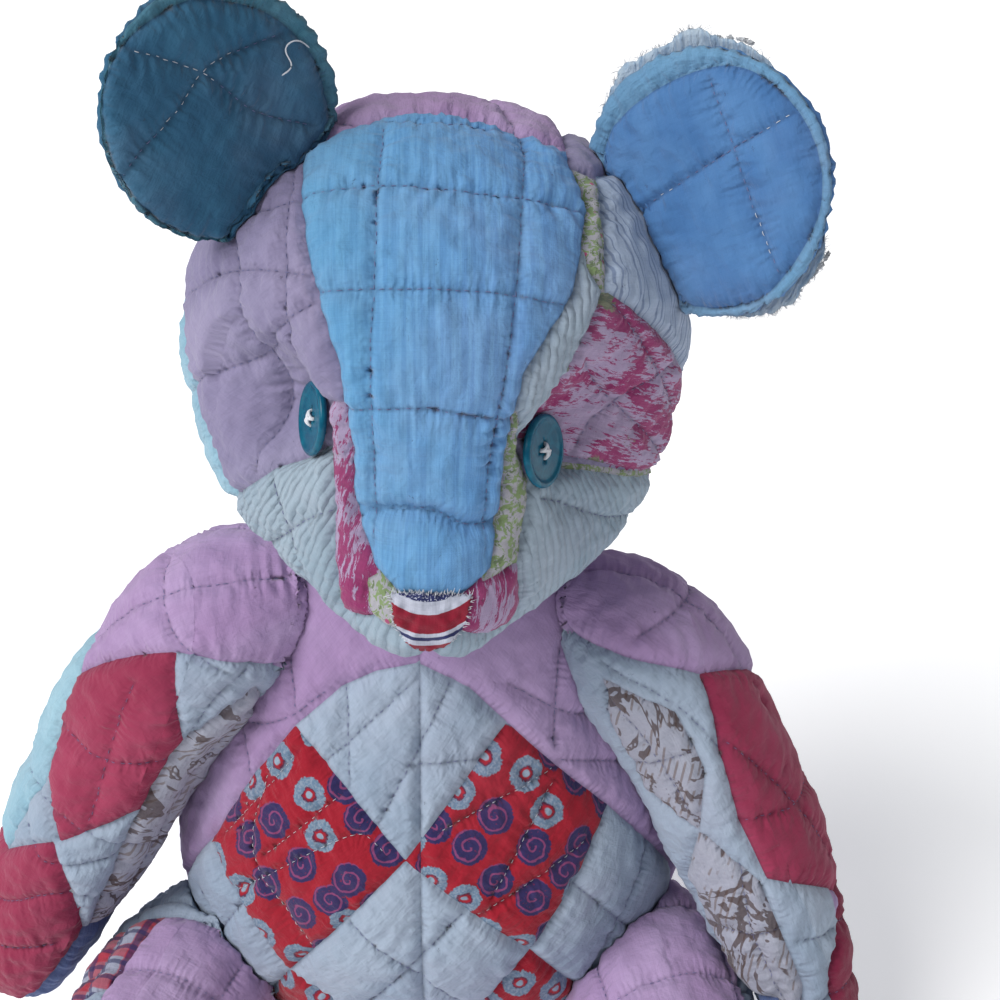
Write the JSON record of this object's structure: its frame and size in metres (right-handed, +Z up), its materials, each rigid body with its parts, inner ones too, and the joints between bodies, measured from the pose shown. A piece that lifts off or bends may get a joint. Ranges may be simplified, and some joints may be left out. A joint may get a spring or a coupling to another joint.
{
  "type": "teddy bear",
  "caption": "Seated stuffed bear sewn from an old patchwork quilt, with a long blue face panel, coat-button eyes, a striped nose patch, round padded ears and splayed soft limbs.",
  "frame": {"origin": "middle of the flat underside of the torso, on the surface the bear sits on", "axes": "+Z up, the bear faces -Y, and +X points to the bear's own left"},
  "size_m": [0.4264, 0.3306, 0.5219],
  "materials": {
    "blue_chambray": "washed light blue quilted cotton",
    "mauve_cotton": "faded mauve pink quilted cotton",
    "floral_cotton": "faded magenta floral quilted cotton",
    "red_print": "red printed quilted cotton",
    "red_cotton": "faded red quilted cotton",
    "white_gauze": "off-white crinkled quilted cotton",
    "teal_cotton": "washed dark teal quilted cotton",
    "mid_blue_cotton": "washed mid blue quilted cotton",
    "striped_cloth": "red, white and navy striped cloth with a frayed edge",
    "batting": "loose cotton wadding",
    "white_thread": "white cotton thread",
    "teal_plastic": "glossy moulded button"
  },
  "bodies": {
    "root": {"body_front_left": "red_print", "body_front_right": "red_print", "body_back": "mauve_cotton", "body_stuffing": "batting", "head_gusset": "blue_chambray", "head_back": "mauve_cotton", "head_side_left": "floral_cotton", "head_side_right": "mauve_cotton", "head_stuffing": "batting", "nose_patch": "striped_cloth", "ear_front_right": "teal_cotton", "ear_back_right": "teal_cotton", "ear_batting_right": "batting", "ear_front_left": "mid_blue_cotton", "ear_back_left": "mid_blue_cotton", "ear_batting_left": "batting", "leg_inner_right": "mauve_cotton", "leg_outer_right": "white_gauze", "sole_right": "mauve_cotton", "leg_stuffing_right": "batting", "leg_inner_left": "mauve_cotton", "leg_outer_left": "white_gauze", "sole_left": "mauve_cotton", "leg_stuffing_left": "batting", "arm_outer_right": "red_cotton", "arm_inner_right": "white_gauze", "arm_stuffing_right": "batting", "arm_outer_left": "red_cotton", "arm_inner_left": "white_gauze", "arm_stuffing_left": "batting", "eye_button_right": "teal_plastic", "eye_thread_right": "white_thread", "eye_button_left": "teal_plastic", "eye_thread_left": "white_thread"}
  },
  "joints": []
}
